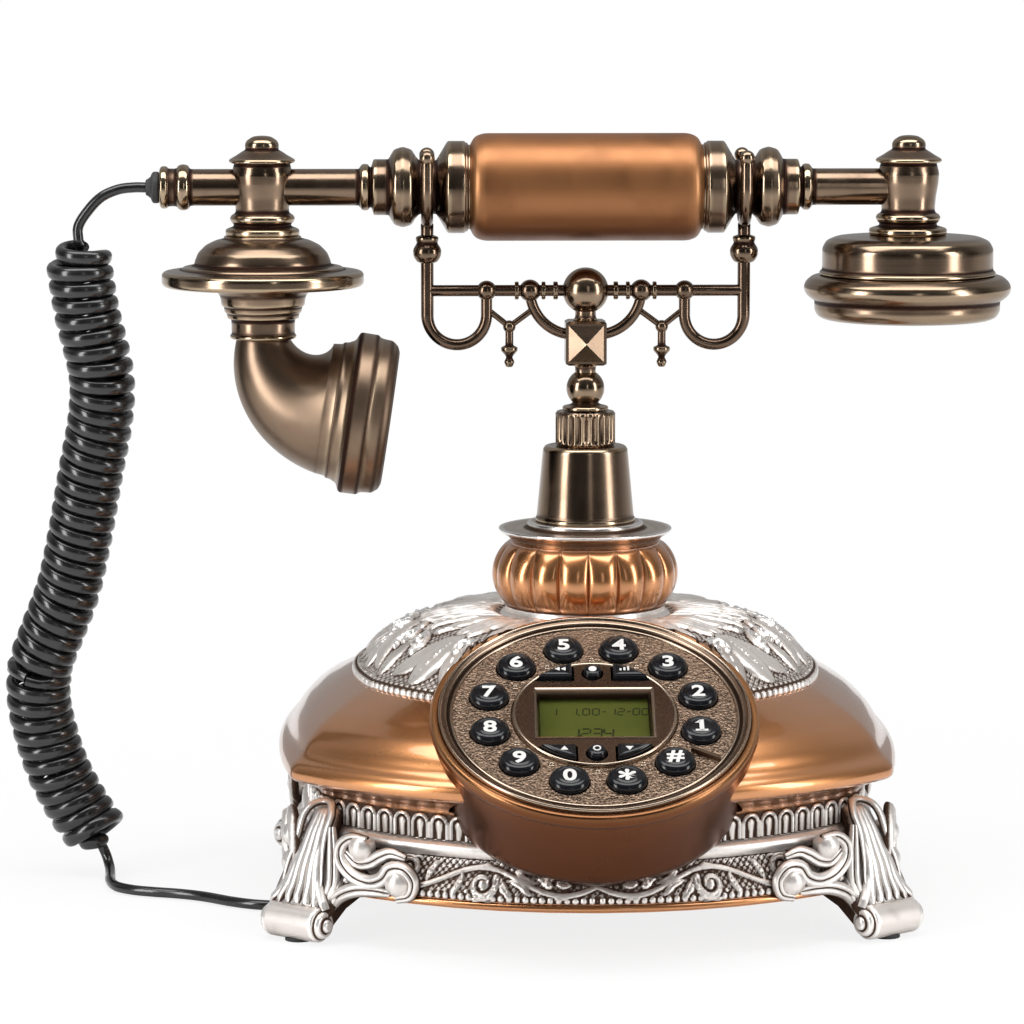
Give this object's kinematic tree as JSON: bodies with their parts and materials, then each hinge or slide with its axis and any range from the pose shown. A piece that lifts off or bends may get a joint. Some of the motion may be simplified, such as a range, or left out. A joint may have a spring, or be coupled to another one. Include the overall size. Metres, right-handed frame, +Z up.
{
  "type": "cradle telephone",
  "caption": "French-style push-button telephone with a turned handset on a sprung cradle, a round sloping dial, scrolled feet and a coiled cord.",
  "frame": {"origin": "on the stem's vertical axis, at the level of the table under the foot pads", "axes": "+X to the viewer's right towards the earpiece, +Y to the rear, +Z up; the dial faces -Y"},
  "size_m": [0.3032, 0.2101, 0.2296],
  "materials": {
    "copper_paint": "metallic copper lacquer on moulded resin, glossy",
    "copper_grip": "metallic copper lacquer, satin",
    "antique_silver": "silver paint on cast resin with dark brown wash in the recesses",
    "silver_rim": "aged silver plating",
    "antique_bronze": "antique bronze plating, brushed and lacquered",
    "bronze_plate": "antique bronze plating on light alloy, brushed and lacquered",
    "dial_bezel": "dark nickel plating, polished",
    "dial_plate": "dark nickel plating with cast stipple",
    "display_glass": "clear window",
    "display_panel": "olive liquid-crystal panel",
    "circuit_board": "green laminate",
    "key_black": "black, glossy, with white figures",
    "plain_steel": "plain",
    "transducer": "dark moulding",
    "jack_plastic": "black moulding",
    "black_rubber": "matt",
    "cord_black": "glossy soft jacket"
  },
  "bodies": {
    "base": {"base_tray": "copper_paint", "apron": "antique_silver", "feet_front": "antique_silver", "feet_rear": "antique_silver", "foot_pads": "black_rubber", "body_shell": "copper_paint", "crown": "antique_silver", "dial_drum": "copper_paint", "dial_bezel": "dial_bezel", "dial_plate": "dial_plate", "finger_stop": "dial_bezel", "lcd_lens": "display_glass", "lcd_module": "display_panel", "key_board": "circuit_board", "cushion": "copper_paint", "stem_dish": "silver_rim", "stem_cone": "antique_bronze", "fluted_collar": "antique_bronze", "stem_tube": "plain_steel", "hook_spring": "plain_steel", "main_board": "circuit_board", "ringer": "transducer", "line_jack": "jack_plastic", "cord_grommet": "black_rubber", "base_screws": "plain_steel", "cord_coil": "cord_black", "cord_lead_lower": "cord_black"},
    "cradle": {"cradle_fork": "antique_bronze", "cradle_block": "antique_bronze"},
    "handset": {"grip_sleeve": "copper_grip", "neck_left": "bronze_plate", "neck_right": "bronze_plate", "mouth_tee": "bronze_plate", "mouth_disc": "bronze_plate", "microphone": "transducer", "horn": "bronze_plate", "ear_tee": "bronze_plate", "ear_shell": "bronze_plate", "receiver": "transducer", "ear_cap": "bronze_plate", "cord_gland": "black_rubber", "cord_lead_upper": "cord_black"},
    "key_1": {"key_1": "key_black"},
    "key_2": {"key_2": "key_black"},
    "key_3": {"key_3": "key_black"},
    "key_4": {"key_4": "key_black"},
    "key_5": {"key_5": "key_black"},
    "key_6": {"key_6": "key_black"},
    "key_7": {"key_7": "key_black"},
    "key_8": {"key_8": "key_black"},
    "key_9": {"key_9": "key_black"},
    "key_0": {"key_0": "key_black"},
    "key_star": {"key_star": "key_black"},
    "key_hash": {"key_hash": "key_black"},
    "key_redial": {"key_redial": "key_black"},
    "key_set": {"key_set": "key_black"},
    "key_speaker": {"key_speaker": "key_black"},
    "key_up": {"key_up": "key_black"},
    "key_out": {"key_out": "key_black"},
    "key_down": {"key_down": "key_black"}
  },
  "joints": [
    {"name": "cradle_hook", "type": "slide", "parent": "base", "child": "cradle", "axis": [0, 0, 1], "range_m": [0, 0.0045], "stiffness_N_per_m": 150, "springref_m": 0.0173, "deforming": ["hook_spring"]},
    {"name": "handset_lift", "type": "slide", "parent": "cradle", "child": "handset", "axis": [0, 0, 1], "range_m": [0, 0.08]},
    {"name": "press_key_1", "type": "slide", "parent": "base", "child": "key_1", "axis": [0, 0.4695, -0.8829], "range_m": [0, 0.0015], "stiffness_N_per_m": 300, "springref_m": -0.002},
    {"name": "press_key_2", "type": "slide", "parent": "base", "child": "key_2", "axis": [0, 0.4695, -0.8829], "range_m": [0, 0.0015], "stiffness_N_per_m": 300, "springref_m": -0.002},
    {"name": "press_key_3", "type": "slide", "parent": "base", "child": "key_3", "axis": [0, 0.4695, -0.8829], "range_m": [0, 0.0015], "stiffness_N_per_m": 300, "springref_m": -0.002},
    {"name": "press_key_4", "type": "slide", "parent": "base", "child": "key_4", "axis": [0, 0.4695, -0.8829], "range_m": [0, 0.0015], "stiffness_N_per_m": 300, "springref_m": -0.002},
    {"name": "press_key_5", "type": "slide", "parent": "base", "child": "key_5", "axis": [0, 0.4695, -0.8829], "range_m": [0, 0.0015], "stiffness_N_per_m": 300, "springref_m": -0.002},
    {"name": "press_key_6", "type": "slide", "parent": "base", "child": "key_6", "axis": [0, 0.4695, -0.8829], "range_m": [0, 0.0015], "stiffness_N_per_m": 300, "springref_m": -0.002},
    {"name": "press_key_7", "type": "slide", "parent": "base", "child": "key_7", "axis": [0, 0.4695, -0.8829], "range_m": [0, 0.0015], "stiffness_N_per_m": 300, "springref_m": -0.002},
    {"name": "press_key_8", "type": "slide", "parent": "base", "child": "key_8", "axis": [0, 0.4695, -0.8829], "range_m": [0, 0.0015], "stiffness_N_per_m": 300, "springref_m": -0.002},
    {"name": "press_key_9", "type": "slide", "parent": "base", "child": "key_9", "axis": [0, 0.4695, -0.8829], "range_m": [0, 0.0015], "stiffness_N_per_m": 300, "springref_m": -0.002},
    {"name": "press_key_0", "type": "slide", "parent": "base", "child": "key_0", "axis": [0, 0.4695, -0.8829], "range_m": [0, 0.0015], "stiffness_N_per_m": 300, "springref_m": -0.002},
    {"name": "press_key_star", "type": "slide", "parent": "base", "child": "key_star", "axis": [0, 0.4695, -0.8829], "range_m": [0, 0.0015], "stiffness_N_per_m": 300, "springref_m": -0.002},
    {"name": "press_key_hash", "type": "slide", "parent": "base", "child": "key_hash", "axis": [0, 0.4695, -0.8829], "range_m": [0, 0.0015], "stiffness_N_per_m": 300, "springref_m": -0.002},
    {"name": "press_key_redial", "type": "slide", "parent": "base", "child": "key_redial", "axis": [0, 0.4695, -0.8829], "range_m": [0, 0.0015], "stiffness_N_per_m": 300, "springref_m": -0.002},
    {"name": "press_key_set", "type": "slide", "parent": "base", "child": "key_set", "axis": [0, 0.4695, -0.8829], "range_m": [0, 0.0015], "stiffness_N_per_m": 300, "springref_m": -0.002},
    {"name": "press_key_speaker", "type": "slide", "parent": "base", "child": "key_speaker", "axis": [0, 0.4695, -0.8829], "range_m": [0, 0.0015], "stiffness_N_per_m": 300, "springref_m": -0.002},
    {"name": "press_key_up", "type": "slide", "parent": "base", "child": "key_up", "axis": [0, 0.4695, -0.8829], "range_m": [0, 0.0015], "stiffness_N_per_m": 300, "springref_m": -0.002},
    {"name": "press_key_out", "type": "slide", "parent": "base", "child": "key_out", "axis": [0, 0.4695, -0.8829], "range_m": [0, 0.0015], "stiffness_N_per_m": 300, "springref_m": -0.002},
    {"name": "press_key_down", "type": "slide", "parent": "base", "child": "key_down", "axis": [0, 0.4695, -0.8829], "range_m": [0, 0.0015], "stiffness_N_per_m": 300, "springref_m": -0.002}
  ]
}
